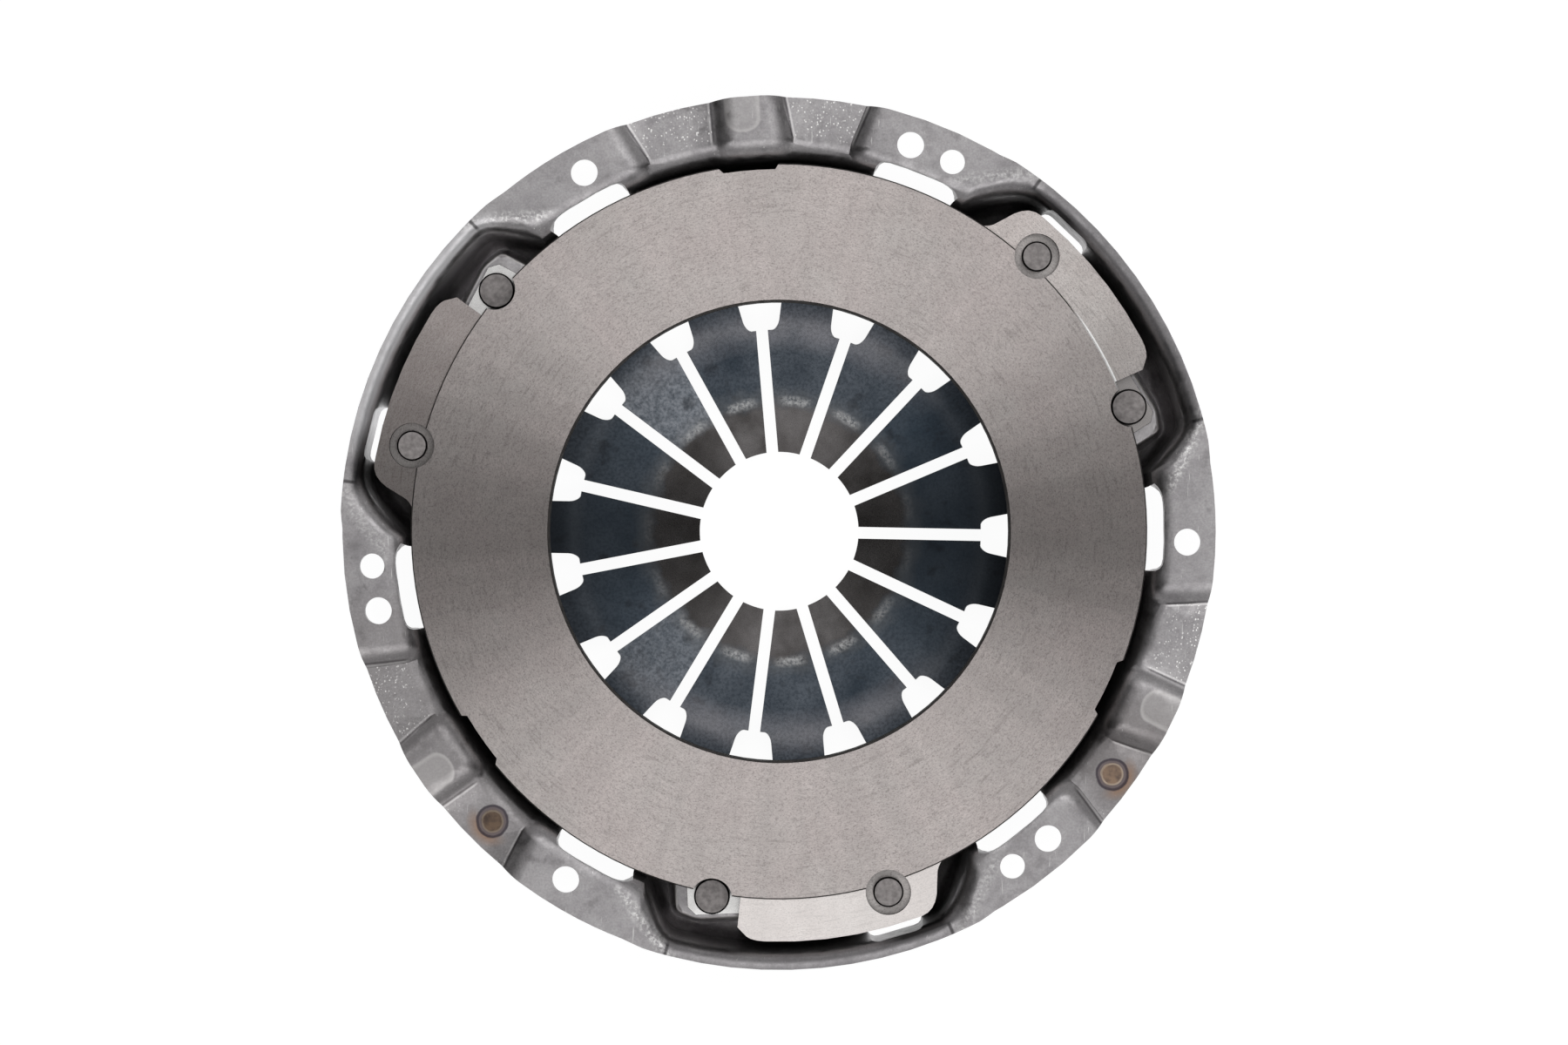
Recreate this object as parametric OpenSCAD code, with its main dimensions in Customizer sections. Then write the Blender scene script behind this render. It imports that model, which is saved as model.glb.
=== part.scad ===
// Clutch cover assembly: stamped cover, cast pressure plate and diaphragm spring.
// The origin is the centre of the bolt circle on the flange's mounting plane.
// +Z points to the flywheel, +X is the direction from which all angles are counted.

/* [Flange] */
// Pitch circle of the bolts and dowels
bolt_pcd = 260; // [258:0.5:262]
// Diameter of the bolt holes
bolt_hole_d = 8.6; // [8:0.1:9]
// Diameter of the dowel holes
dowel_hole_d = 8; // [6:0.1:8.4]
// Outer diameter of the flange at its bolt pads
flange_od = 277.8; // [276:0.2:279]
// Outer diameter of the lip round the lug pockets
pocket_od = 279.2; // [278:0.2:280]
// Depth of the recessed pads below the mounting plane
recess_drop = 3.5; // [2:0.1:4]

/* [Cover] */
// Thickness of the cover's sheet
sheet_t = 3.5; // [3:0.1:4]
// Depth of the crown's inner face below the mounting plane
crown_drop = 32.6; // [32.6:0.05:34]
// Opening in the crown
crown_opening_d = 152; // [148:1:153]
// Depth of the pocket floor at the wall
floor_drop = 27; // [26:0.1:28]
// Depth of the raised seats that carry the straps
seat_drop = 20.9; // [20.9:0.1:21.5]

/* [Pressure plate] */
// Outer diameter of the friction face
plate_od = 235; // [233:0.5:236]
// Bore of the plate
plate_bore_d = 146.8; // [144:0.2:148]
// Depth of the friction face below the mounting plane
face_drop = 4.5; // [4:0.1:5]
// Radius of the lugs' outer edge
lug_r = 131; // [130:0.2:131.4]
// Step from the friction face down to the lugs
lug_step = 0.8; // [0.4:0.1:1]
// Thickness of a lug
lug_t = 8; // [7.5:0.1:8]
// Height from the friction face to the crest of the fulcrum ridge
plate_h = 19.5; // [19:0.1:19.5]
// Radius of the fulcrum ridge
ridge_r = 103.5; // [103:0.1:104]

/* [Diaphragm spring] */
// Number of fingers
finger_n = 15; // [15]
// Thickness of the spring
spring_t = 2.4; // [2.2:0.1:2.4]
// Outer diameter of the spring
spring_od = 211; // [209:0.5:211]
// Circle of the finger tips
tip_d = 51.6; // [48:0.2:56]
// Width of the slots between the fingers
slot_w = 3.8; // [3:0.1:4.5]
// Width of a finger's neck between two windows
neck_w = 16.9; // [16:0.1:18]
// Drop per millimetre of radius of the spring's cone
cone_slope = 0.158; // [0.158:0.001:0.16]

/* [Fulcrum] */
// Pitch radius of the fulcrum rings
ring_r = 89.4; // [89.4:0.1:90]
// Wire diameter of the fulcrum rings
wire_d = 3.8; // [3.6:0.1:3.8]
// Pitch radius of the fulcrum rivets
fulcrum_rivet_r = 83.8; // [83.5:0.1:83.8]

/* [Drive straps] */
// Thickness of one strap leaf
leaf_t = 0.8; // [0.6:0.05:0.8]
// Width of a strap
strap_w = 12; // [12:0.5:13]
// Angle of the rivet on the cover
cover_rivet_angle = 19.57; // [19.4:0.01:19.8]
// Pitch radius of the rivet on the cover
cover_rivet_r = 119.4; // [119:0.1:119.6]
// Angle of the rivet in the lug
plate_rivet_angle = 46.85; // [46.6:0.01:47]
// Pitch radius of the rivet in the lug
plate_rivet_r = 120.4; // [120:0.1:120.6]

/* [Hidden] */
$fn = 96;

// The whole object repeats three times round the axis
sector = 120;
// Gap at a wire ring, and at the line where the plate's ridge bears on the spring
seat_gap = 0.03;
contact_gap = 0.05;
// Overshoot of a cutting tool
cut = 1;

// Depths, all below the mounting plane
face_z = -face_drop;
lug_top_z = face_z - lug_step;
lug_back_z = lug_top_z - lug_t;
ridge_z = face_z - plate_h;
crown_z = -crown_drop;
crown_back_z = crown_z - sheet_t;
floor_z = -floor_drop;
seat_z = -seat_drop;
strap_n = 3;
strap_top_plate_z = lug_back_z;
strap_top_cover_z = seat_z + strap_n * leaf_t;

function polar(r, a) = [r * cos(a), r * sin(a)];
function mix(a, b, w) = a + (b - a) * w;
function unit(v) = v / norm(v);
// Soft step from 0 to 1 between two limits
function soft(x, a, b) = let (w = min(1, max(0, (x - a) / (b - a)))) w * w * (3 - 2 * w);
// Straight step from 0 to 1 between two limits
function ramp(x, a, b) = min(1, max(0, (x - a) / (b - a)));
// Points of a round from a to c that leans on b: a circle's arc where both sides are alike
function round_off(a, b, c, n) = let (k = norm(c - a) / (norm(b - a) + norm(c - b)))
    [for (i = [0:n]) let (w = i / n, u = (1 - w) * (1 - w), v = 2 * w * (1 - w) * k, t = w * w)
        (u * a + v * b + t * c) / (u + v + t)];
// Points of a quadratic curve from a to c that leans on b
function bend(a, b, c, n) = [for (i = [0:n]) let (w = i / n)
    (1 - w) * (1 - w) * a + 2 * w * (1 - w) * b + w * w * c];

// Zones of the flange in one sector: first angle, last angle and number of steps
zones = [
    [0, 5, 2], [5, 9, 2], [9, 15.8, 7], [15.8, 51.4, 9], [51.4, 60.8, 8], [60.8, 75.3, 3],
    [75.3, 78.4, 4], [78.4, 89, 3], [89, 92.3, 4], [92.3, 95.8, 1], [95.8, 99.2, 4],
    [99.2, 110.4, 3], [110.4, 113.6, 4], [113.6, 120, 2]
];
stations = [for (k = [0:2], s = zones, i = [0:s[2] - 1]) k * sector + s[0] + (s[1] - s[0]) * i / s[2]];

// How much an angle belongs to a lug pocket, and how much to a recessed pad
function eased_end(w) = w < 0.75 ? max(0, w) : w < 1.25 ? w - (w - 0.75) * (w - 0.75) : 1;
function pocket_share(a) = min(eased_end((a - 9) / 5.4), eased_end((60.8 - a) / 7.5));
// A pad's slope leaves the land softly and meets the pad in a crease
function dip(a, land, pad) = let (w = ramp(a, land, pad)) w * w;
function recess_share(a) = a < 94
    ? min(dip(a, 75.3, 78.4), dip(a, 92.3, 89))
    : min(dip(a, 95.8, 99.2), dip(a, 113.6, 110.4));

// The recessed pads narrow inward: turn of a station's foot against its rim end, in degrees
pad_turns = [
    [60.8, 0], [75.3, 1.1], [78.4, 1.1], [84, 0], [89, -1.1], [92.3, -1.1],
    [94, 0], [95.8, 0.4], [99.2, 0.4], [105, 0], [110.4, -1.1], [113.6, -1.1], [120, 0]
];
turn_in_r = 126;
turn_out_r = 138;
function turned(a, r) = a + lookup(a % sector, pad_turns) * (1 - ramp(r, turn_in_r, turn_out_r));

// Corners of the sheet's front line at an angle: crown, floor, foot and top of the wall, edge
pad_wall_r = 119.2;
pocket_wall_r = 134.4;
wall_draft = 1.8;
crown_flat_r = 109.5;
crown_ring_r = 106;
shell_inner_r = 100;
function line_corners(a) = let (
    p = pocket_share(a),
    d = recess_share(a),
    wall_r = mix(pad_wall_r, pocket_wall_r, p),
    rim_r = mix(flange_od / 2, pocket_od / 2, ramp(a, 9, 12) - ramp(a, 57.5, 59.5)) - 0.4 * d,
    rim_z = -recess_drop * d - 0.4 * p
) [
    [shell_inner_r, crown_z],
    [crown_flat_r, crown_z],
    [wall_r - wall_draft, mix(crown_z + 4, floor_z, p)],
    [wall_r, rim_z],
    [rim_r, rim_z]
];
// Shoulder at the wall's top: its reach down the wall and outward along the flange
shoulder_down = [
    [0, 7.5], [5, 7.5], [10, 9], [14.4, 6.5], [53.3, 6.5], [57, 9], [60.8, 7.5], [120, 7.5]
];
shoulder_out = [
    [0, 6.5], [5, 6.8], [9.5, 9.8], [12, 7.4], [14.4, 4.8],
    [53.3, 4.8], [55.3, 8.6], [58, 7.2], [60.8, 7.2], [64, 6.5], [120, 6.5]
];
// Setback of the rounding at each inner corner, before it and after it
function setbacks(a) = [2.5, mix(4, 5, pocket_share(a)), lookup(a, shoulder_down)];
function setbacks_after(a) = let (c = line_corners(a))
    [2.5, mix(4, 5, pocket_share(a)), min(lookup(a, shoulder_out), c[4][0] - c[3][0] - 0.4)];
corner_steps = [1, 3, 6];

// Front line of the sheet at an angle, with its corners rounded
function front_line(a) = let (c = line_corners(a), before = setbacks(a), after = setbacks_after(a)) concat(
    [c[0]],
    [for (i = [1:3]) each round_off(
        c[i] + before[i - 1] * unit(c[i - 1] - c[i]),
        c[i],
        c[i] + after[i - 1] * unit(c[i + 1] - c[i]),
        corner_steps[i - 1])],
    [c[4]]
);
// Back line: the front line moved by the sheet's thickness, square to it
function normal_at(l, i) = let (
    n = len(l),
    u = unit(l[min(i + 1, n - 1)] - l[max(i - 1, 0)])
) [u[1], -u[0]];
function back_line(l) = [for (i = [0:len(l) - 1]) l[i] + sheet_t * normal_at(l, i)];

// The drawn sheet outside the crown: rings of front and back points, joined station by station
module cover_shell() {
    rings = [for (a = stations) let (f = front_line(a % sector), b = back_line(f), n = len(f))
        concat(f, [for (i = [n - 1:-1:0]) b[i]])];
    m = len(rings[0]);
    s = len(rings);
    points = [for (i = [0:s - 1], j = [0:m - 1]) let (
        p = rings[i][j],
        q = polar(p[0], turned(stations[i], p[0]))
    ) [q[0], q[1], p[1]]];
    faces = [for (i = [0:s - 1], j = [0:m - 1]) let (
        i2 = (i + 1) % s,
        j2 = (j + 1) % m,
        q = [i * m + j, i2 * m + j, i2 * m + j2, i * m + j2]
    ) each [[q[0], q[1], q[2]], [q[0], q[2], q[3]]]];
    polyhedron(points, faces, convexity = 6);
}

module ring_solid(r_in, r_out, z_low, z_high) {
    rotate_extrude($fn = 180)
        translate([r_in, z_low])
            square([r_out - r_in, z_high - z_low]);
}

module three_times() {
    for (k = [0:2])
        rotate([0, 0, k * sector])
            children();
}

// Place at a strap's cover rivet, with +X along the strap to the plate rivet
cover_rivet_at = polar(cover_rivet_r, cover_rivet_angle);
plate_rivet_at = polar(plate_rivet_r, plate_rivet_angle);
strap_line = plate_rivet_at - cover_rivet_at;
strap_length = norm(strap_line);
strap_angle = atan2(strap_line[1], strap_line[0]);
module at_strap() {
    translate([cover_rivet_at[0], cover_rivet_at[1], 0])
        rotate([0, 0, strap_angle])
            children();
}

// Raised seat under a strap's end: an outline with one cut corner, grown by an offset
seat_back_x = -12.2;
seat_front_x = 10;
seat_half_in = 8;
seat_half_out = 7.8;
seat_cut = 3;
function seat_corners(g) = [
    [seat_front_x + g, -seat_half_out - g],
    [seat_front_x + g, seat_half_in + g],
    [seat_back_x - g, seat_half_in + g],
    [seat_back_x - g, -seat_half_out + seat_cut - g],
    [seat_back_x + 7, -seat_half_out - g]
];
function seat_ring(g, round_by) = let (c = seat_corners(g), n = len(c))
    [for (i = [0:n - 1]) each bend(
        c[i] + round_by * unit(c[(i + n - 1) % n] - c[i]),
        c[i],
        c[i] + round_by * unit(c[(i + 1) % n] - c[i]),
        3)];
// Layers of the seat and of the hollow behind it: depth below the top, growth of the outline
// and corner setback
seat_layers = [[0, -1.1, 1.8], [0.5, -0.3, 2.1], [1.8, 0.1, 2.4], [6, 1.2, 3], [13.5, 3.4, 3.4]];
hollow_layers = [[0, -2.6, 2], [0.5, -2.4, 2.4], [6, -1.2, 3], [13.5, 1, 3.4]];
module seat_loft(top_z, stack) {
    layers = [for (l = stack) [for (p = seat_ring(l[1], l[2])) [p[0], p[1], top_z - l[0]]]];
    m = len(layers[0]);
    s = len(layers);
    points = [for (l = layers) each l];
    sides = [for (i = [0:s - 2], j = [0:m - 1]) let (j2 = (j + 1) % m,
        q = [i * m + j, i * m + j2, (i + 1) * m + j2, (i + 1) * m + j])
        each [[q[0], q[1], q[2]], [q[0], q[2], q[3]]]];
    top = [for (j = [1:m - 2]) [0, j + 1, j]];
    bottom = [for (j = [1:m - 2]) [(s - 1) * m, (s - 1) * m + j, (s - 1) * m + j + 1]];
    polyhedron(points, concat(sides, top, bottom), convexity = 4);
}

// Holes of the flange, as angles in one sector
bolt_angles = [-1.5, 71.2];
dowel_angle = 64.87;
module flange_holes() {
    for (a = bolt_angles)
        rotate([0, 0, a])
            translate([bolt_pcd / 2, 0, -20])
                cylinder(h = 20 + cut, d = bolt_hole_d);
    rotate([0, 0, dowel_angle])
        translate([bolt_pcd / 2, 0, -20])
            cylinder(h = 20 + cut, d = dowel_hole_d);
}

// Vent window through wall and floor: round at its bolt end, slanted at its pocket end
vent_r = 122.8;
vent_in_r = 112.5;
module vent(bolt_end, pocket_end) {
    dir = sign(pocket_end - bolt_end);
    translate([0, 0, crown_back_z - cut])
        linear_extrude(crown_drop + sheet_t + 2 * cut)
            polygon(concat(
                bend(polar(vent_r - 4, bolt_end), polar(vent_r, bolt_end),
                    polar(vent_r, bolt_end + 2 * dir), 4),
                [for (i = [1:2]) polar(vent_r, mix(bolt_end, pocket_end, i / 3))],
                bend(polar(vent_r, pocket_end - 3 * dir), polar(vent_r, pocket_end - 1.2 * dir),
                    polar(vent_r - 2.2, pocket_end), 4),
                [polar(vent_in_r, pocket_end - 1.9 * dir), polar(vent_in_r, bolt_end)]
            ));
}

// Access opening behind the plate rivet, for setting its tail
access_angles = [42.4, 50.4];
access_r = 134.9;
access_in_r = 111.5;
module access_opening() {
    c = [polar(access_in_r, access_angles[0]), polar(access_r, access_angles[0]),
        polar(access_r, access_angles[1]), polar(access_in_r, access_angles[1])];
    round_by = 3.5;
    translate([0, 0, crown_back_z - cut])
        linear_extrude(crown_drop + sheet_t)
            polygon([for (i = [0:3]) each bend(
                c[i] + round_by * unit(c[(i + 3) % 4] - c[i]),
                c[i],
                c[i] + round_by * unit(c[(i + 1) % 4] - c[i]),
                4)]);
}

// Marks that the welding of the balance weights leaves in front: a ring pressed into the pad
weld_marks = [[323.9, 131.5], [225.3, 130]];
weld_ring_d = 10.1;
weld_core_d = 6.9;
weld_depth = 0.3;
module weld_mark_cut(m) {
    rotate([0, 0, m[0]])
        translate([m[1], 0, -recess_drop - weld_depth])
            difference() {
                cylinder(h = 2, d = weld_ring_d, $fn = 48);
                translate([0, 0, -cut])
                    cylinder(h = 2 + 2 * cut, d = weld_core_d, $fn = 48);
            }
}

rivet_shank_d = 6.6;
fulcrum_shank_d = 6.8;
shank_gap = 0.02;
module cover() {
    color([0.6, 0.59, 0.58])
        difference() {
            union() {
                cover_shell();
                ring_solid(crown_opening_d / 2, crown_ring_r, crown_back_z, crown_z);
                three_times()
                    at_strap()
                        seat_loft(seat_z, seat_layers);
            }
            three_times() {
                at_strap() {
                    seat_loft(seat_z - sheet_t, hollow_layers);
                    translate([0, 0, seat_z - sheet_t - cut])
                        cylinder(h = sheet_t + 2 * cut, d = rivet_shank_d);
                }
                flange_holes();
                vent(75.2, 61.8);
                vent(113.9, 127.3);
                access_opening();
            }
            for (k = [0:finger_n - 1])
                rotate([0, 0, slot_angle + k * finger_pitch])
                    translate([fulcrum_rivet_r, 0, crown_back_z - cut])
                        cylinder(h = sheet_t + 2 * cut, d = fulcrum_shank_d, $fn = 48);
            for (m = weld_marks)
                weld_mark_cut(m);
        }
}

// Pressure plate
plate_back_z = -14;
boss_back_z = -19.5;
rim_back_z = -12;
bore_r = plate_bore_d / 2;
plate_r = plate_od / 2;
ridge_nose = 1.8;
ridge_groove_n = 12;
plate_fillet = 1.5;
module plate_ring() {
    rotate_extrude($fn = 180)
        polygon(concat(
            [[bore_r + 0.6, face_z], [plate_r - 0.4, face_z], [plate_r, face_z - 0.4]],
            [[plate_r, rim_back_z + 1], [plate_r - 1, rim_back_z]],
            bend([109.9, rim_back_z], [108.4, rim_back_z], [108.1, rim_back_z - 1.5], 4),
            bend([107.7, boss_back_z + plate_fillet], [107.4, boss_back_z], [106.4, boss_back_z], 3),
            [for (i = [0:8]) [ridge_r, ridge_z + ridge_nose] + polar(ridge_nose, -i * 22.5)],
            bend([99.4, boss_back_z], [98, boss_back_z], [97.7, boss_back_z + plate_fillet], 3),
            bend([97, plate_back_z - 2], [96.6, plate_back_z], [94.6, plate_back_z], 4),
            [[bore_r + 1, plate_back_z], [bore_r, plate_back_z + 1], [bore_r, face_z - 0.6]]
        ));
}
lug_angles = [24, 56];
lug_in_r = 107;
module lug_plan() {
    a1 = lug_angles[0];
    a2 = lug_angles[1];
    polygon(concat(
        [polar(lug_in_r, a1), polar(lug_r - 3.9, a1)],
        bend(polar(lug_r - 1.2, a1 + 1.4), polar(lug_r, a1 + 2.2), polar(lug_r, a1 + 4), 3),
        [for (i = [1:5]) polar(lug_r, mix(a1 + 4, a2 - 6.5, i / 5))],
        bend(polar(lug_r, a2 - 5.6), polar(lug_r, a2 - 3.2), polar(plate_r + 6, a2 - 1.9), 5),
        bend(polar(plate_r + 3, a2 - 1.2), polar(plate_r + 0.9, a2 - 0.8),
            polar(plate_r - 0.5, a2 + 0.6), 4),
        [polar(lug_in_r, a2)]
    ));
}
// Shallow notch in the plate's outer edge, as cast
notch_angles = [90, 99.6];
notch_depth = 1.9;
module edge_notch() {
    a1 = notch_angles[0];
    a2 = notch_angles[1];
    r = plate_r - notch_depth;
    translate([0, 0, plate_back_z - cut])
        linear_extrude(face_z - plate_back_z + 2 * cut)
            polygon(concat(
                [polar(plate_r + 2, a1 - 0.6)],
                [for (i = [0:3]) polar(r, mix(a1 + 0.6, a2 - 0.8, i / 3))],
                [polar(plate_r + 2, a2 + 0.8)]
            ));
}
counterbore_d = 14.5;
counterbore_z = -8.3;
rivet_clear_r = 6.7;
module pressure_plate() {
    color([0.66, 0.63, 0.61])
        difference() {
            union() {
                plate_ring();
                three_times()
                    translate([0, 0, lug_back_z])
                        linear_extrude(lug_t)
                            lug_plan();
            }
            three_times() {
                translate([plate_rivet_at[0], plate_rivet_at[1], lug_back_z - cut])
                    cylinder(h = lug_t + 2 * cut, d = rivet_shank_d);
                translate([plate_rivet_at[0], plate_rivet_at[1], counterbore_z])
                    cylinder(h = 10, d = counterbore_d);
                translate([cover_rivet_at[0], cover_rivet_at[1], plate_back_z - 6])
                    cylinder(h = 20, r = rivet_clear_r);
                edge_notch();
            }
            for (k = [0:ridge_groove_n - 1])
                rotate([0, 0, (k + 0.5) * 360 / ridge_groove_n])
                    translate([ridge_r - 6, -4, ridge_z - cut])
                        cube([12, 8, boss_back_z - ridge_z + cut]);
        }
}

// Diaphragm spring: its front line from the outer edge to the finger tips
finger_pitch = 360 / finger_n;
slot_angle = 22.9;
finger_angle = slot_angle - finger_pitch / 2;
cone_end_r = 67.3;
tip_bend_r = 41.9;
finger_slope = 0.105;
tip_slope = 0.03;
spring_r = spring_od / 2;
tip_r = tip_d / 2;
contact_z = ridge_z - contact_gap;
cone_end_z = contact_z - cone_slope * (ridge_r - cone_end_r);
tip_bend_z = cone_end_z - finger_slope * (cone_end_r - tip_bend_r);
tip_z = tip_bend_z - tip_slope * (tip_bend_r - tip_r);
function spring_front(r) = r > cone_end_r ? contact_z - cone_slope * (ridge_r - r)
    : r > tip_bend_r ? cone_end_z - finger_slope * (cone_end_r - r)
    : tip_bend_z - tip_slope * (tip_bend_r - r);
spring_drop = spring_t * sqrt(1 + cone_slope * cone_slope);
window_in_r = 65.3;
window_out_r = 87.8;
// Window between two fingers: its sides keep the necks at one width
module spring_window() {
    side = function(r, s) let (h = finger_pitch / 2 - asin(neck_w / 2 / r)) polar(r, s * h);
    polygon(concat(
        bend(side(window_in_r + 3.4, -1), side(window_in_r, -1), [window_in_r, -2.4], 4),
        bend([window_in_r, 2.4], side(window_in_r, 1), side(window_in_r + 3.4, 1), 4),
        bend(side(window_out_r - 7, 1), side(window_out_r, 1), [window_out_r, 4], 5),
        bend([window_out_r, -4], side(window_out_r, -1), side(window_out_r - 7, -1), 5)
    ));
}
spring_line = [
    tip_r, tip_bend_r - 2, tip_bend_r + 2, cone_end_r - 3, cone_end_r + 3, spring_r - 0.4
];
module diaphragm_spring() {
    color([0.24, 0.27, 0.3])
        difference() {
            rotate_extrude($fn = 180)
                polygon(concat(
                    [for (i = [5:-1:0]) [spring_line[i], spring_front(spring_line[i])]],
                    [for (r = spring_line) [r, spring_front(r) - spring_drop]],
                    [[spring_r, spring_front(spring_r) - spring_drop + 0.5]],
                    [[spring_r, spring_front(spring_r) - 0.5]]
                ));
            for (k = [0:finger_n - 1])
                rotate([0, 0, slot_angle + k * finger_pitch]) {
                    translate([0, 0, tip_z - 10])
                        linear_extrude(30)
                            spring_window();
                    translate([tip_r - 4, -slot_w / 2, tip_z - 10])
                        cube([window_in_r - tip_r + 6, slot_w, 30]);
                }
        }
}

// Fulcrum rings: one wire ring in front of the spring and one behind it
wire_r = wire_d / 2;
wire_rise = (wire_r + seat_gap) * sqrt(1 + cone_slope * cone_slope);
ring_front_z = spring_front(ring_r) + wire_rise;
ring_rear_z = spring_front(ring_r) - spring_drop - wire_rise;
module wire_ring(z) {
    translate([0, 0, z])
        rotate_extrude($fn = 180)
            translate([ring_r, 0])
                circle(r = wire_r, $fn = 32);
}
module fulcrum_ring_front() {
    color([0.45, 0.45, 0.46])
        wire_ring(ring_front_z);
}
module fulcrum_ring_rear() {
    color([0.45, 0.45, 0.46])
        wire_ring(ring_rear_z);
}

// A rivet standing on its lower head, with its shank and a chamfered upper head
module rivet(z_tail, z_low, z_high, z_head, tail_r, shank_r, head_r) {
    bevel = 0.5;
    rotate_extrude($fn = 64)
        polygon([
            [0, z_tail], [tail_r - bevel, z_tail], [tail_r, z_tail + bevel], [tail_r, z_low],
            [shank_r, z_low], [shank_r, z_high],
            [head_r, z_high], [head_r, z_head - bevel], [head_r - bevel, z_head], [0, z_head]
        ]);
}

fulcrum_head_r = 7;
fulcrum_head_t = 2.8;
fulcrum_tail_r = 5.4;
fulcrum_tail_t = 2;
fulcrum_head_z = ring_front_z + wire_r + seat_gap;
module fulcrum_rivets() {
    color([0.42, 0.41, 0.4])
        for (k = [0:finger_n - 1])
            rotate([0, 0, slot_angle + k * finger_pitch])
                translate([fulcrum_rivet_r, 0, 0])
                    rivet(crown_back_z - fulcrum_tail_t, crown_back_z,
                        fulcrum_head_z, fulcrum_head_z + fulcrum_head_t,
                        fulcrum_tail_r, fulcrum_shank_d / 2 - shank_gap, fulcrum_head_r);
}

// Strap leaf: flat at both rivets with a soft step between them
strap_flat = 9;
strap_end = 8;
strap_step = strap_top_plate_z - strap_top_cover_z;
function strap_z(x) = strap_top_cover_z + strap_step * soft(x, strap_flat, strap_length - strap_flat);
strap_xs = concat(
    [-strap_end],
    [for (i = [0:14]) mix(strap_flat, strap_length - strap_flat, i / 14)],
    [strap_length + strap_end]
);
module strap_plan() {
    w = strap_w / 2;
    c = 2.6;
    polygon([
        [-strap_end + c, -w], [strap_length + strap_end - c, -w], [strap_length + strap_end, -w + c],
        [strap_length + strap_end, w - c], [strap_length + strap_end - c, w],
        [-strap_end + c, w], [-strap_end, w - c], [-strap_end, -w + c]
    ]);
}
module strap_leaf(layer) {
    top = -(layer - 1) * leaf_t;
    color([0.7, 0.7, 0.7])
        at_strap()
            difference() {
                intersection() {
                    rotate([90, 0, 0])
                        translate([0, 0, -strap_w])
                            linear_extrude(2 * strap_w)
                                polygon(concat(
                                    [for (x = strap_xs) [x, strap_z(x) + top]],
                                    [for (i = [len(strap_xs) - 1:-1:0])
                                        [strap_xs[i], strap_z(strap_xs[i]) + top - leaf_t]]
                                ));
                    translate([0, 0, -40])
                        linear_extrude(40)
                            strap_plan();
                }
                for (x = [0, strap_length])
                    translate([x, 0, -40])
                        cylinder(h = 40, d = rivet_shank_d);
            }
}

cover_rivet_head_r = 5.75;
cover_rivet_head_t = 2.5;
cover_rivet_tail_r = 4.8;
cover_rivet_tail_t = 2.4;
module cover_strap_rivet() {
    color([0.43, 0.42, 0.41])
        at_strap()
            rivet(seat_z - sheet_t - cover_rivet_tail_t, seat_z - sheet_t,
                strap_top_cover_z, strap_top_cover_z + cover_rivet_head_t,
                cover_rivet_tail_r, rivet_shank_d / 2 - shank_gap, cover_rivet_head_r);
}

plate_rivet_head_r = 4.85;
plate_rivet_head_t = 2.3;
plate_rivet_tail_r = 5;
plate_rivet_tail_t = 2.5;
strap_pack_t = strap_n * leaf_t;
module plate_strap_rivet() {
    color([0.43, 0.42, 0.41])
        translate([plate_rivet_at[0], plate_rivet_at[1], 0])
            rivet(lug_back_z - strap_pack_t - plate_rivet_tail_t, lug_back_z - strap_pack_t,
                counterbore_z, counterbore_z + plate_rivet_head_t,
                plate_rivet_tail_r, rivet_shank_d / 2 - shank_gap, plate_rivet_head_r);
}

// Balance weight: a slug welded behind a recessed pad
weight_d = 9.4;
weight_t = 4.5;
module balance_weight(m) {
    color([0.5, 0.48, 0.46])
        rotate([0, 0, m[0]])
            translate([m[1], 0, -recess_drop - sheet_t - weight_t])
                rotate_extrude($fn = 48)
                    polygon([[0, 0], [weight_d / 2 - 0.6, 0], [weight_d / 2, 0.6],
                        [weight_d / 2, weight_t - 0.6], [weight_d / 2 - 0.6, weight_t], [0, weight_t]]);
}

cover();
pressure_plate();
diaphragm_spring();
fulcrum_ring_front();
fulcrum_ring_rear();
fulcrum_rivets();
for (k = [0:2], layer = [1:strap_n])
    let (name = str("strap_", "abc"[k], "_leaf_", layer))
        rotate([0, 0, k * sector]) strap_leaf(layer);
for (k = [0:2])
    let (name = str("cover_strap_rivet_", "abc"[k]))
        rotate([0, 0, k * sector]) cover_strap_rivet();
for (k = [0:2])
    let (name = str("plate_strap_rivet_", "abc"[k]))
        rotate([0, 0, k * sector]) plate_strap_rivet();
for (k = [0:1])
    let (name = str("balance_weight_", "ab"[k]))
        balance_weight(weld_marks[k]);
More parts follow.
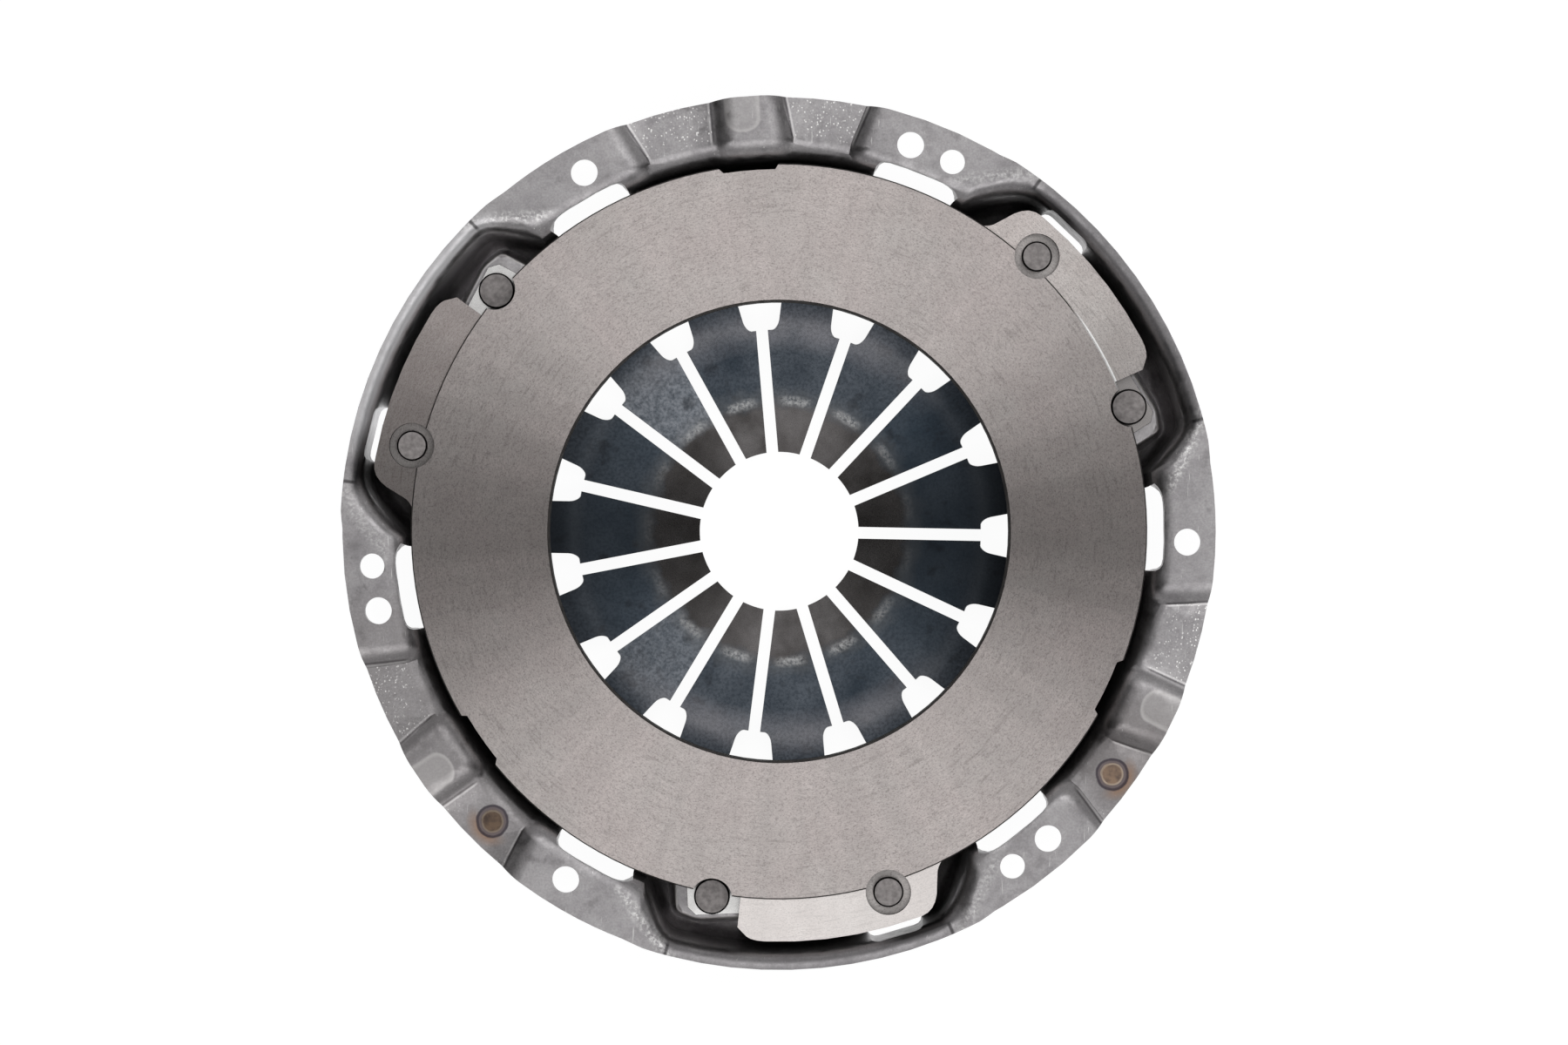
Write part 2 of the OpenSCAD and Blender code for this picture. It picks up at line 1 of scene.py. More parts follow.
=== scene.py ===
import math
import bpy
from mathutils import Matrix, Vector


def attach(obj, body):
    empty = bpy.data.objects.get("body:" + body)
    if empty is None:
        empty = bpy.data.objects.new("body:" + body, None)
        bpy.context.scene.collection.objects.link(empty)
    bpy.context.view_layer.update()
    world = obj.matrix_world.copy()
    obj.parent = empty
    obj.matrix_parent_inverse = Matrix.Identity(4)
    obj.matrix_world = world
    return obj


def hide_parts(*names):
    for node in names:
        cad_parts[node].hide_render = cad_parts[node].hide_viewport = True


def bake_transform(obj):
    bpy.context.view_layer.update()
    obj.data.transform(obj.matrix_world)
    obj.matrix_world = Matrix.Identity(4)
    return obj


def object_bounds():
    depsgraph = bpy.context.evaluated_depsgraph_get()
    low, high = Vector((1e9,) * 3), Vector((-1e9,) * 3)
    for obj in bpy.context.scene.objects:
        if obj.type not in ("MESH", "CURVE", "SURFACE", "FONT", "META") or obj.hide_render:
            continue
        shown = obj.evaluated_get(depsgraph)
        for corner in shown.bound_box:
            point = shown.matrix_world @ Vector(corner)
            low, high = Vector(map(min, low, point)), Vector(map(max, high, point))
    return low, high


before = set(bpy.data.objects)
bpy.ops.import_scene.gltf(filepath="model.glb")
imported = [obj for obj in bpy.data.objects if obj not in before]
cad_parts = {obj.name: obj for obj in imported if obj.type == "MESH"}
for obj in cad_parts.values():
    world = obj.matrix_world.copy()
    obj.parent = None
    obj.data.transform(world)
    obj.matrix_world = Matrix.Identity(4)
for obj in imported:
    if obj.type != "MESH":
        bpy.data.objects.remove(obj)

from types import SimpleNamespace

import bmesh
import bpy
from mathutils import Vector

cad_low, cad_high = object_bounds()

# Studio: the object lies crown down on a pale floor and is seen from straight above, from a
# metre and a half. A wide soft light hangs over it, with a soft box beyond its top and bottom,
# and the left and right stay darker, which gives the turned face its two dim sectors.
PHOTO_W, PHOTO_H = 1800, 1200
AXIS_PX = (894.33, 610.26)
METRES_PER_PX = 0.00027709
VIEW_DISTANCE, VIEW_END = 1.5, 50
SENSOR = 36.0
FLOOR_SIZE = 14.0
FLOOR_TONE, FLOOR_TONE_SEEN, FLOOR_GLOW_SEEN = 0.9, 0.13, 0.94
WHITE = (1, 1, 1, 1)
OVERHEAD_LIGHT = ((0.0, 0.35), (0.13, 1.0), (0.6, 1.0), (0.84, 0.32), (0.96, 0.32), (1.0, 0.8))
SIDE_SHARE, SIDE_DARK, SIDE_LIT, SIDE_GLOW = 0.15, 0.2, 0.6, 0.02
AIR_STRENGTH = 1.15
BOX_SIZE = (2.4, 0.6)
SOFT_BOXES = {
    "soft_box_top": ((0.1, 0.65, 1.35), 2.4),
    "soft_box_bottom": ((0.1, -0.65, 1.35), 2.6),
}

camera_data = bpy.data.cameras.new("camera")
camera = bpy.data.objects.new("camera", camera_data)
bpy.context.scene.collection.objects.link(camera)
camera.location = (
    (PHOTO_W / 2 - AXIS_PX[0]) * METRES_PER_PX,
    (AXIS_PX[1] - PHOTO_H / 2) * METRES_PER_PX,
    VIEW_DISTANCE,
)
camera_data.sensor_width = SENSOR
camera_data.lens = SENSOR * VIEW_DISTANCE / (PHOTO_W * METRES_PER_PX)
camera_data.clip_end = VIEW_END
bpy.context.scene.camera = camera
bpy.context.scene.view_settings.view_transform = "Standard"


def add_node(tree, kind, inputs=None, **settings):
    """Adds a shader node; an input is a value or the output that feeds it."""
    made = tree.nodes.new(kind)
    for name, value in settings.items():
        setattr(made, name, value)
    for name, value in (inputs or {}).items():
        if isinstance(value, bpy.types.NodeSocket):
            tree.links.new(value, made.inputs[name])
        else:
            made.inputs[name].default_value = value
    return made


def new_finish(name):
    """A material with an empty tree; returns it, its tree and its surface socket."""
    finish = bpy.data.materials.new(name)
    finish.use_nodes = True
    finish.node_tree.nodes.clear()
    output = finish.node_tree.nodes.new("ShaderNodeOutputMaterial")
    return finish, finish.node_tree, output.inputs["Surface"]


def maths(tree, operation, first, second=0.0, clamp=False):
    """One sum of two values."""
    inputs = {0: first, 1: second}
    return add_node(tree, "ShaderNodeMath", inputs, operation=operation, use_clamp=clamp).outputs[0]


def product(tree, first, *others):
    """Several values multiplied, such as masks from 0 to 1."""
    for other in others:
        first = maths(tree, "MULTIPLY", first, other)
    return first


def vector_maths(tree, operation, first, second=(0, 0, 0)):
    """One sum of two vectors; a length or a distance comes out as a value."""
    made = add_node(tree, "ShaderNodeVectorMath", {0: first, 1: second}, operation=operation)
    return made.outputs["Value" if operation in ("LENGTH", "DISTANCE") else "Vector"]


def remap(tree, value, low, high, to_low=0.0, to_high=1.0, kind="LINEAR"):
    """Maps a range of a value to another range, held at its ends."""
    inputs = {"Value": value, "From Min": low, "From Max": high, "To Min": to_low, "To Max": to_high}
    return add_node(tree, "ShaderNodeMapRange", inputs, interpolation_type=kind).outputs[0]


bpy.ops.object.select_all(action="DESELECT")
bpy.ops.mesh.primitive_plane_add(size=FLOOR_SIZE, location=(0, 0, cad_low.z))
studio_floor = bpy.context.object
studio_floor.name = "studio_floor"
# Seen directly or in metal, the floor is white by its own glow and keeps a shadow in its paint.
floor_paint, tree, surface = new_finish("floor_paint")
ray = add_node(tree, "ShaderNodeLightPath").outputs
seen = maths(tree, "ADD", ray["Is Camera Ray"], ray["Is Glossy Ray"], True)
seen = maths(tree, "ADD", seen, ray["Is Transmission Ray"], True)
tone = remap(tree, seen, 0.0, 1.0, FLOOR_TONE, FLOOR_TONE_SEEN)
paint = add_node(tree, "ShaderNodeBsdfDiffuse", {"Color": tone})
strength = product(tree, seen, FLOOR_GLOW_SEEN)
glow = add_node(tree, "ShaderNodeEmission", {"Color": WHITE, "Strength": strength})
both = add_node(tree, "ShaderNodeAddShader", {0: paint.outputs[0], 1: glow.outputs[0]})
tree.links.new(both.outputs[0], surface)
studio_floor.data.materials.append(floor_paint)

world = bpy.data.worlds.new("studio_air")
bpy.context.scene.world = world
world.use_nodes = True
tree = world.node_tree
tree.nodes.clear()
towards = add_node(tree, "ShaderNodeTexCoord").outputs["Generated"]
sideward = vector_maths(tree, "MULTIPLY", towards, (1, 1, 0))
axes = add_node(tree, "ShaderNodeSeparateXYZ", {0: vector_maths(tree, "NORMALIZE", sideward)}).outputs
facing = maths(tree, "ADD", maths(tree, "ABSOLUTE", axes["Y"]), product(tree, axes["X"], SIDE_SHARE))
beside = remap(tree, facing, SIDE_DARK, SIDE_LIT, SIDE_GLOW, 1.0, "SMOOTHSTEP")
overhead = add_node(tree, "ShaderNodeValToRGB", {"Fac": vector_maths(tree, "LENGTH", sideward)})
overhead.color_ramp.interpolation = "EASE"
ramp = overhead.color_ramp.elements
for stop, (place, shine) in enumerate(OVERHEAD_LIGHT):
    point = ramp[stop] if stop < 2 else ramp.new(place)
    point.position = place
    point.color = (shine, shine, shine, 1)
strength = product(tree, beside, overhead.outputs[0], AIR_STRENGTH)
# Past the floor's end the camera sees plain white.
seen = add_node(tree, "ShaderNodeLightPath").outputs["Is Camera Ray"]
strength = add_node(tree, "ShaderNodeMix", {"Factor": seen, "A": strength, "B": 1.0}).outputs["Result"]
air = add_node(tree, "ShaderNodeBackground", {"Color": WHITE, "Strength": strength})
output = tree.nodes.new("ShaderNodeOutputWorld")
tree.links.new(air.outputs[0], output.inputs["Surface"])

for name, (place, watts) in SOFT_BOXES.items():
    box_data = bpy.data.lights.new(name, "AREA")
    box_data.shape = "RECTANGLE"
    box_data.size, box_data.size_y = BOX_SIZE
    box_data.energy = watts
    box = bpy.data.objects.new(name, box_data)
    box.location = place
    box.rotation_euler = (-Vector(place)).to_track_quat("-Z", "Y").to_euler()
    bpy.context.scene.collection.objects.link(box)


# Cover: a deep-drawn pan of 3.5 mm steel sheet with a stepped flange, left bare and oiled. Its
# recessed pads carry press specks painted as bright glints, and the two welded weights behind it
# have left a ring and heat colours in front.
COVER_EDGE = 0.0004
EDGE_FACES = 1
MERGED_WITHIN, NO_LENGTH = 0.000003, 0.000002
SMOOTH_ANGLE = math.radians(40)
THIRD = 120.0
# A pair says where a mark starts and where it is full, and four also where it fades again.
PAD_Z = -0.0035
PAD_HEIGHTS, PAD_DEGREES = (-0.0040, -0.0037, -0.0034, -0.0031), (76.0, 77.0, 112.0, 113.0)
PAD_R = (0.1250, 0.1275)
FLANGE_HEIGHTS, FLANGE_R = (-0.0047, -0.0042), (0.1245, 0.1265)
# An edge of a pad: its degree at the rim and at the foot, and the side that the pad is on.
PAD_EDGES = ((78.0, 79.1, -1), (89.1, 87.9, 1), (99.3, 99.7, -1), (110.5, 109.3, 1))
CREASE_R = (0.1380, 0.1260)
CREASE_HIGHLIGHT_BAND, CREASE_SHADE_BAND = (-0.35, -0.2, -0.1, 0.05), (-0.02, 0.1, 0.2, 0.42)
# A shoulder: its degree and radius at the foot, its slant in degrees to the metre, its half
# width in degrees and its share.
POCKET_SHOULDERS = ((5.9, 0.1239, 611.0, 2.0, 1.0), (62.5, 0.1262, -600.0, 2.2, 0.5))
SHOULDER_R, SHOULDER_HEIGHTS = (0.1235, 0.1255), (-0.0085, -0.0055)
LIP_DEGREES, POCKET_SHADE_DEGREES = (13.0, 16.0, 51.0, 54.0), (43.0, 47.0, 52.5, 55.5)
LIP_R, POCKET_SHADE_R = (0.1340, 0.1355), (0.1370, 0.1358)
LIT_POCKET, LIT_POCKET_REACH = 151.0, (20.0, 14.0)
LIT_WALL_IN_R, LIT_WALL_OUT_R = (0.1310, 0.1335), (0.1385, 0.1370)
NICKS, NICK_REACH = (14.9, 53.4), (0.32, 0.12)
NICK_R, NICK_HEIGHTS = (0.1352, 0.1365), (-0.0085, -0.0065)
# A stretch of painted shade: its middle and half width in degrees, and its share.
SHADED_STRETCHES = ((-150.0, 23.0, 0.3), (-32.5, 10.5, 0.5))
SHADE_FADE = 5.0
SEAT_R, SEAT_DEGREE = 0.1194, 19.57
SEAT_HALF, SEAT_HIGHLIGHT_W = 0.0175, 0.001
SEAT_HEIGHTS, SEAT_OUT_R = (-0.0228, -0.0222, -0.0212, -0.0209), (0.1330, 0.1325)
TONGUE_DEGREE, TONGUE_R = 95.0, 0.1315
TONGUE_HALF_DEGREES, TONGUE_LENGTH = 2.2, 0.0036
TONGUE_BAND, TONGUE_LINE_BAND, LAND_HEIGHTS = (1.15, 0.85), (0.55, 1.0, 1.05, 1.35), (-0.003, -0.001)
# A weld: its degree, its radius, and how bright its burnt middle is.
WELDS = ((323.9, 0.1315, 1.0), (225.3, 0.1300, 0.62))
CLEAR_OF_WELD = (0.0100, 0.0150)
SKIRT_Z, SKIRT_R, SKIRT_OUT_R, SKIRT_LEFT = -0.0344, 0.1285, 0.1330, 0.15
SKIRT_FROM, SKIRT_TO = 10, 28
FLUSH_R, FLOOR_SLOPE = 0.1170, 0.2427
PALE_STEEL, DARK_STEEL = (0.42, 0.404, 0.41), (0.30, 0.287, 0.295)
MOTTLED_STEEL, GRAINY_STEEL = (0.52, 0.505, 0.51), (0.21, 0.20, 0.205)
SCRATCHED_STEEL, SCUFF_AND_SHEEN = (0.74, 0.73, 0.72), (0.78, 0.77, 0.76)
LIT_WALL, SPECK_GLINT = (0.78, 0.775, 0.79), (0.95, 0.94, 0.92)
OLD_STAIN, FLANGE_SHADE, POCKET_SHADE = (0.17, 0.16, 0.165), (0.13, 0.115, 0.11), (0.03, 0.029, 0.03)
CREASE_HIGHLIGHT, CREASE_SHADE = (0.72, 0.7, 0.7), (0.09, 0.085, 0.09)
POCKET_LIP_SHADE, NICK_SHADE, SEAT_HIGHLIGHT = (0.16, 0.153, 0.16), (0.04, 0.038, 0.04), (0.85, 0.83, 0.81)
TONGUE_TONE, TONGUE_LINE = (0.56, 0.54, 0.53), (0.66, 0.64, 0.63)
STRAW_TINT = (0.30, 0.18, 0.11)
# A ring of a weld: its outer and inner radius, its share and its colour.
WELD_RINGS = ((0.0055, 0.0051, 0.9, (0.06, 0.05, 0.06)), (0.0046, 0.0043, 0.8, (0.17, 0.14, 0.14)))
WELD_LIP_R, WELD_CORE_R, WELD_TINT_R = (0.0038, 0.0035), (0.0033, 0.0029), (0.0085, 0.0052)
WELD_LIP, WELD_CORE = (0.36, 0.29, 0.23), ((0.13, 0.095, 0.08), (0.25, 0.175, 0.125))
STREAK_WIDTH = 0.07
EDGE_SHADE_TONES = ((0.012, 0.011, 0.011), (0.05, 0.046, 0.046))


def even_shading(piece):
    """Smooth shading in which the large flat faces stay flat and the small ones turn."""
    bpy.context.view_layer.objects.active = piece
    piece.select_set(True)
    bpy.ops.object.shade_smooth_by_angle(angle=SMOOTH_ANGLE)
    even = piece.modifiers.new("even", "WEIGHTED_NORMAL")
    even.mode = "FACE_AREA_WITH_ANGLE"
    even.weight = 70
    even.keep_sharp = True
    bpy.ops.object.modifier_apply(modifier=even.name)


def finished_copy(node, piece_name, edge_break, body, finish, edge_finish):
    """Copies a CAD node, merges its loose triangles, breaks its edges and shows it instead."""
    bpy.ops.object.select_all(action="DESELECT")
    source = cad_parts[node]
    source.select_set(True)
    bpy.context.view_layer.objects.active = source
    bpy.ops.object.duplicate()
    piece = bpy.context.object
    piece.name = piece_name
    piece.parent = None
    for key in list(piece.keys()):
        if key.startswith("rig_"):
            del piece[key]
    bpy.ops.object.mode_set(mode="EDIT")
    bpy.ops.mesh.select_all(action="SELECT")
    bpy.ops.mesh.customdata_custom_splitnormals_clear()
    bpy.ops.mesh.remove_doubles(threshold=MERGED_WITHIN)
    bpy.ops.mesh.dissolve_degenerate(threshold=NO_LENGTH)
    bpy.ops.object.mode_set(mode="OBJECT")
    piece.data.materials.clear()
    piece.data.materials.append(finish)
    piece.data.materials.append(edge_finish)
    if edge_break:
        edge = piece.modifiers.new("edge", "BEVEL")
        edge.width = edge_break
        edge.segments = 2
        edge.limit_method = "ANGLE"
        edge.angle_limit = SMOOTH_ANGLE
        edge.material = EDGE_FACES
        bpy.ops.object.modifier_apply(modifier=edge.name)
    even_shading(piece)
    if body:
        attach(piece, body)
    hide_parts(node)
    return piece


def polar_point(degree, r):
    """The point at an angle and a radius from the axis, at the mounting plane."""
    turn = math.radians(degree)
    return Vector((r * math.cos(turn), r * math.sin(turn), 0))


def object_place(tree):
    """Object coordinates, the way outward, and the radius, height and degrees round the axis."""
    coords = add_node(tree, "ShaderNodeTexCoord").outputs["Object"]
    parts = add_node(tree, "ShaderNodeSeparateXYZ", {0: coords}).outputs
    flat = vector_maths(tree, "MULTIPLY", coords, (1, 1, 0))
    angle = maths(tree, "ARCTAN2", parts["Y"], parts["X"])
    return SimpleNamespace(
        coords=coords,
        outward=vector_maths(tree, "NORMALIZE", flat),
        radius=vector_maths(tree, "LENGTH", flat),
        height=parts["Z"],
        degrees=product(tree, angle, 180 / math.pi),
    )


def noise(tree, vector, scale, detail=3.0, roughness=0.55):
    """Noise at a number of cells to the metre."""
    inputs = {"Vector": vector, "Scale": scale, "Detail": detail, "Roughness": roughness}
    return add_node(tree, "ShaderNodeTexNoise", inputs).outputs["Fac"]


def streaks(tree, vector, turn, scale, low, high):
    """Short thin marks that run one way over the surface, as a share from 0 to 1."""
    stretch = (scale, scale * STREAK_WIDTH, scale)
    turned = {"Vector": vector, "Rotation": (0, 0, math.radians(turn)), "Scale": stretch}
    laid = add_node(tree, "ShaderNodeMapping", turned).outputs[0]
    return remap(tree, noise(tree, laid, 1.0, 2.0), low, high)


def band(tree, value, low, full_from, full_to, high):
    """A share that is 1 over the middle of a range of a value and fades to 0 at its ends."""
    return product(tree, remap(tree, value, low, full_from), remap(tree, value, high, full_to))


def apart(tree, value, other):
    """How far apart two values are."""
    return maths(tree, "ABSOLUTE", maths(tree, "SUBTRACT", value, other))


# Places of the colour sockets on a mix node, whose kinds share their names.
MIX_SHARE, MIX_UNDER, MIX_OVER, MIX_COLOUR = 0, 6, 7, 2


def lay(tree, under, over, *shares):
    """One colour laid over another, by the product of some shares."""
    under, over = [c if isinstance(c, bpy.types.NodeSocket) else (*c, 1) for c in (under, over)]
    inputs = {MIX_SHARE: product(tree, *shares), MIX_UNDER: under, MIX_OVER: over}
    return add_node(tree, "ShaderNodeMix", inputs, data_type="RGBA").outputs[MIX_COLOUR]


def lay_metal(tree, surface, inputs, relief=None, strength=0.0, depth=0.0):
    """Gives the surface a metal shader, with a relief of a strength and a depth in metres."""
    inputs = {"Metallic": 1.0, **inputs}
    if relief is not None:
        relief = {"Strength": strength, "Distance": depth, "Height": relief}
        inputs["Normal"] = add_node(tree, "ShaderNodeBump", relief).outputs[0]
    metal = add_node(tree, "ShaderNodeBsdfPrincipled", inputs)
    tree.links.new(metal.outputs[0], surface)


def weld_apart(tree, coords, weld_degree, weld_r):
    """Distance from the middle of a weld on its recessed pad."""
    centre = polar_point(weld_degree, weld_r) + Vector((0, 0, PAD_Z))
    return vector_maths(tree, "DISTANCE", coords, centre)


sheet_steel, tree, surface = new_finish("sheet_steel")
at = object_place(tree)
sector = maths(tree, "FLOORED_MODULO", at.degrees, THIRD)
cloud = remap(tree, noise(tree, at.coords, 60.0, 4.0), 0.35, 0.65)
mottle = remap(tree, noise(tree, at.coords, 260.0, 5.0, 0.65), 0.38, 0.62)
grain = remap(tree, noise(tree, at.coords, 1500.0, 4.0), 0.3, 0.7)
stain = remap(tree, noise(tree, at.coords, 130.0, 4.0, 0.6), 0.56, 0.68)
scratches = streaks(tree, at.coords, 25, 1500, 0.70, 0.76)
scratches = maths(tree, "ADD", scratches, streaks(tree, at.coords, -50, 1300, 0.71, 0.77))
steel = lay(tree, DARK_STEEL, PALE_STEEL, cloud)
steel = lay(tree, steel, MOTTLED_STEEL, mottle, 0.45)
steel = lay(tree, steel, GRAINY_STEEL, grain, 0.45)
steel = lay(tree, steel, OLD_STAIN, stain, 0.55)
steel = lay(tree, steel, SCRATCHED_STEEL, scratches, 0.6)

# The press has left specks on the recessed pads, painted as bright glints, but none close to the welds.
pits = add_node(tree, "ShaderNodeTexVoronoi", {"Vector": at.coords, "Scale": 1000.0}).outputs["Distance"]
sparse = remap(tree, noise(tree, at.coords, 700.0, 2.0), 0.46, 0.58)
speck_glints = product(tree, remap(tree, pits, 0.34, 0.18, 0.0, 0.85), sparse)
on_pads = product(tree, band(tree, at.height, *PAD_HEIGHTS), band(tree, sector, *PAD_DEGREES))
on_pads = product(tree, on_pads, remap(tree, at.radius, *PAD_R))
for weld_degree, weld_r, burn in WELDS:
    from_weld = weld_apart(tree, at.coords, weld_degree, weld_r)
    on_pads = product(tree, on_pads, remap(tree, from_weld, *CLEAR_OF_WELD, 0.05, 1.0))
steel = lay(tree, steel, SPECK_GLINT, speck_glints, on_pads)

# Each pad ends in a crisp crease: a painted highlight on the pad and painted shade beside it.
inward = remap(tree, at.radius, *CREASE_R)
on_flange = remap(tree, at.height, *FLANGE_HEIGHTS)
on_flange = product(tree, on_flange, remap(tree, at.radius, *FLANGE_R))
for rim_degree, foot_degree, side in PAD_EDGES:
    past = maths(tree, "SUBTRACT", sector, remap(tree, inward, 0.0, 1.0, rim_degree, foot_degree))
    past = product(tree, past, side)
    steel = lay(tree, steel, CREASE_HIGHLIGHT, band(tree, past, *CREASE_HIGHLIGHT_BAND), on_flange, 0.6)
    steel = lay(tree, steel, CREASE_SHADE, band(tree, past, *CREASE_SHADE_BAND), on_flange, 0.75)

# The shoulders of the lug pockets carry scuffs and a painted sheen, along a line that slants
# outward at each end.
scuff_sheen_noise = remap(tree, noise(tree, at.coords, 850.0, 4.0, 0.65), 0.45, 0.65)
shoulder_sheen = 0.0
for foot_degree, foot_r, degrees_per_metre, half, share in POCKET_SHOULDERS:
    slant = product(tree, maths(tree, "SUBTRACT", at.radius, foot_r), degrees_per_metre)
    near = apart(tree, maths(tree, "SUBTRACT", sector, foot_degree), slant)
    shoulder_sheen = maths(tree, "ADD", shoulder_sheen, remap(tree, near, half, 0.2, 0.0, share), True)
shoulder_sheen = product(tree, shoulder_sheen, remap(tree, at.radius, *SHOULDER_R))
shoulder_sheen = product(tree, shoulder_sheen, remap(tree, at.height, *SHOULDER_HEIGHTS))
steel = lay(tree, steel, SCUFF_AND_SHEEN, scuff_sheen_noise, shoulder_sheen)

# Painted shade dulls the lip round each lug pocket, painted light brightens the second one inside,
# and painted shade darkens the front end of the others. Two stretches of the flange get painted shade.
second = remap(tree, apart(tree, at.degrees, LIT_POCKET), *LIT_POCKET_REACH)
lip = product(tree, band(tree, sector, *LIP_DEGREES), remap(tree, at.radius, *LIP_R))
steel = lay(tree, steel, POCKET_LIP_SHADE, lip, remap(tree, second, 0.0, 1.0, 0.4, 0.1))
lit_wall_mask = product(tree, second, remap(tree, at.radius, *LIT_WALL_IN_R))
steel = lay(tree, steel, LIT_WALL, lit_wall_mask, remap(tree, at.radius, *LIT_WALL_OUT_R, 0.3, 0.75))
pocket_shade_mask = product(tree, band(tree, sector, *POCKET_SHADE_DEGREES), maths(tree, "SUBTRACT", 1.0, second))
steel = lay(tree, steel, POCKET_SHADE, pocket_shade_mask, remap(tree, at.radius, *POCKET_SHADE_R), 0.88)
for shade_degree, shade_half, share in SHADED_STRETCHES:
    off = apart(tree, at.degrees, shade_degree)
    steel = lay(tree, steel, FLANGE_SHADE, remap(tree, off, shade_half, shade_half - SHADE_FADE, 0.0, share))

# Painted shade marks a small nick in the rim at each end of the pocket.
for nick_degree in NICKS:
    nick = remap(tree, apart(tree, sector, nick_degree), *NICK_REACH)
    nick = product(tree, nick, remap(tree, at.radius, *NICK_R))
    steel = lay(tree, steel, NICK_SHADE, nick, remap(tree, at.height, *NICK_HEIGHTS), 0.8)

# The edges of the raised seats are rubbed bright and carry a painted highlight. The cosine rule gives
# the distance, squared, from the middle of the seat.
swing = maths(tree, "SUBTRACT", sector, SEAT_DEGREE)
swing = maths(tree, "COSINE", product(tree, swing, math.pi / 180))
squared = maths(tree, "ADD", product(tree, at.radius, at.radius), SEAT_R ** 2)
squared = maths(tree, "SUBTRACT", squared, product(tree, at.radius, swing, 2 * SEAT_R))
seat_highlight_mask = band(tree, at.height, *SEAT_HEIGHTS)
seat_highlight_mask = product(tree, seat_highlight_mask, remap(tree, squared, SEAT_HALF ** 2, (SEAT_HALF - SEAT_HIGHLIGHT_W) ** 2))
steel = lay(tree, steel, SEAT_HIGHLIGHT, seat_highlight_mask, remap(tree, at.radius, *SEAT_OUT_R), 0.7)

# A tongue-shaped rub mark lies in the middle of the land between two recessed pads.
across = maths(tree, "DIVIDE", maths(tree, "SUBTRACT", sector, TONGUE_DEGREE), TONGUE_HALF_DEGREES)
along = maths(tree, "MAXIMUM", maths(tree, "SUBTRACT", TONGUE_R, at.radius), 0.0)
along = maths(tree, "DIVIDE", along, TONGUE_LENGTH)
tongue = maths(tree, "ADD", product(tree, across, across), product(tree, along, along))
front = remap(tree, at.height, *LAND_HEIGHTS)
steel = lay(tree, steel, TONGUE_TONE, remap(tree, tongue, *TONGUE_BAND), front, 0.25)
steel = lay(tree, steel, TONGUE_LINE, band(tree, tongue, *TONGUE_LINE_BAND), front, 0.38)

# Each weld has a dark ring, a brighter lip and a burnt core, and a straw tint towards the rim.
for weld_degree, weld_r, burn in WELDS:
    uneven = remap(tree, noise(tree, at.coords, 200.0), 0.3, 0.7, -0.0002, 0.0002)
    from_weld = maths(tree, "ADD", weld_apart(tree, at.coords, weld_degree, weld_r), uneven)
    rimward = remap(tree, at.radius, weld_r + 0.0005, weld_r + 0.0045)
    steel = lay(tree, steel, STRAW_TINT, remap(tree, from_weld, *WELD_TINT_R), rimward, 0.75)
    for ring_out, ring_in, share, shade in WELD_RINGS:
        steel = lay(tree, steel, shade, remap(tree, from_weld, ring_out, ring_in), share)
    lip_shade, core_dark, core_pale = [[burn * part for part in shade] for shade in (WELD_LIP, *WELD_CORE)]
    steel = lay(tree, steel, lip_shade, remap(tree, from_weld, *WELD_LIP_R))
    core = lay(tree, core_dark, core_pale, remap(tree, noise(tree, at.coords, 420.0), 0.35, 0.65))
    steel = lay(tree, steel, core, remap(tree, from_weld, *WELD_CORE_R))
rough = remap(tree, mottle, 0.0, 1.0, 0.44, 0.32)
relief = product(tree, noise(tree, at.coords, 210.0), 1.5)
relief = maths(tree, "ADD", noise(tree, at.coords, 900.0, 4.0), relief)
relief = maths(tree, "ADD", relief, product(tree, speck_glints, on_pads, 2.0))
lay_metal(tree, surface, {"Base Color": steel, "Roughness": rough}, relief, 0.4, 0.00008)

# The edge bevels of every piece are painted dark, as shade along the edges.
dark_edge, tree, surface = new_finish("dark_edge")
coords = add_node(tree, "ShaderNodeTexCoord").outputs["Object"]
edge_shade = lay(tree, *EDGE_SHADE_TONES, remap(tree, noise(tree, coords, 800.0, 3.0), 0.35, 0.65))
lay_metal(tree, surface, {"Base Color": edge_shade, "Roughness": 0.5})
cover = finished_copy("cover", "stamped_cover", COVER_EDGE, "cover_body",
                      sheet_steel, dark_edge)
# The wall under each raised seat is dressed down until it is nearly flush with the floor's back.
for vertex in cover.data.vertices:
    r = vertex.co.xy.length
    turn = math.degrees(math.atan2(vertex.co.y, vertex.co.x)) % THIRD
    floor_back = SKIRT_Z + (r - FLUSH_R) * FLOOR_SLOPE
    under_seat = SKIRT_FROM < turn < SKIRT_TO and FLUSH_R < r < SKIRT_OUT_R
    if under_seat and vertex.co.z < floor_back:
        vertex.co.z = floor_back - SKIRT_LEFT * (floor_back - vertex.co.z)
        if r > SKIRT_R:
            vertex.co.xy *= (SKIRT_R + SKIRT_LEFT * (r - SKIRT_R)) / r
even_shading(cover)


# Fulcrum rings: two rings of drawn wire, one on each side of the diaphragm spring. The spring
# tips between them like a lever.
WIRE_TONES = ((0.22, 0.215, 0.21), (0.36, 0.35, 0.34))

ring_wire, tree, surface = new_finish("ring_wire")
coords = add_node(tree, "ShaderNodeTexCoord").outputs["Object"]
drawn = lay(tree, *WIRE_TONES, noise(tree, coords, 700.0))
rough = remap(tree, noise(tree, coords, 90.0), 0.3, 0.7, 0.3, 0.42)
lay_metal(tree, surface, {"Base Color": drawn, "Roughness": rough})
for side in ("front", "rear"):
    finished_copy(f"fulcrum_ring_{side}", f"wire_ring_{side}", 0, "cover_body",
                  ring_wire, ring_wire)


